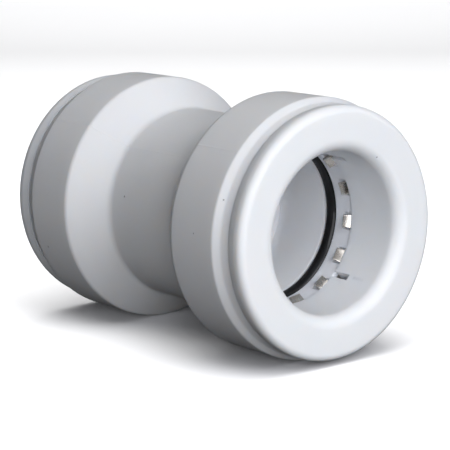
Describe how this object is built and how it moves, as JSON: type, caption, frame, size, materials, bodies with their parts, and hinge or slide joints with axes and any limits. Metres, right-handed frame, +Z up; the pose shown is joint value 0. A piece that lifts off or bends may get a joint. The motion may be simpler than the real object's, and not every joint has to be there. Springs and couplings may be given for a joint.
{
  "type": "push fit pipe coupling",
  "caption": "Straight push fit coupling for 22 mm plastic or copper pipe, with a sliding release collar, steel grab ring and O-ring in each socket",
  "frame": {"origin": "middle of the coupling, on the pipe axis", "axes": "+X along the pipe axis, out of the right socket; +Z up; +Y completes the right-handed frame"},
  "size_m": [0.0518, 0.036, 0.036],
  "materials": {
    "body_plastic": "moulded white plastic, satin to glossy",
    "collar_plastic": "moulded white plastic, satin to glossy",
    "ring_plastic": "moulded white plastic, matt",
    "spacer_plastic": "moulded off-white plastic, matt",
    "spring_steel": "stamped stainless spring steel",
    "seal_rubber": "black EPDM rubber, lightly greased"
  },
  "bodies": {
    "coupling_body": {"body": "body_plastic", "retaining_ring_left": "ring_plastic", "retaining_ring_right": "ring_plastic", "spacer_ring_left": "spacer_plastic", "spacer_ring_right": "spacer_plastic", "o_ring_left": "seal_rubber", "o_ring_right": "seal_rubber"},
    "collar_left": {"release_collar_left": "collar_plastic", "grab_ring_left": "spring_steel"},
    "collar_right": {"release_collar_right": "collar_plastic", "grab_ring_right": "spring_steel"}
  },
  "joints": [
    {"name": "release_slide_left", "type": "slide", "parent": "coupling_body", "child": "collar_left", "axis": [-1, 0, 0], "range_m": [0, 0.0015]},
    {"name": "release_slide_right", "type": "slide", "parent": "coupling_body", "child": "collar_right", "axis": [1, 0, 0], "range_m": [0, 0.0015]}
  ]
}
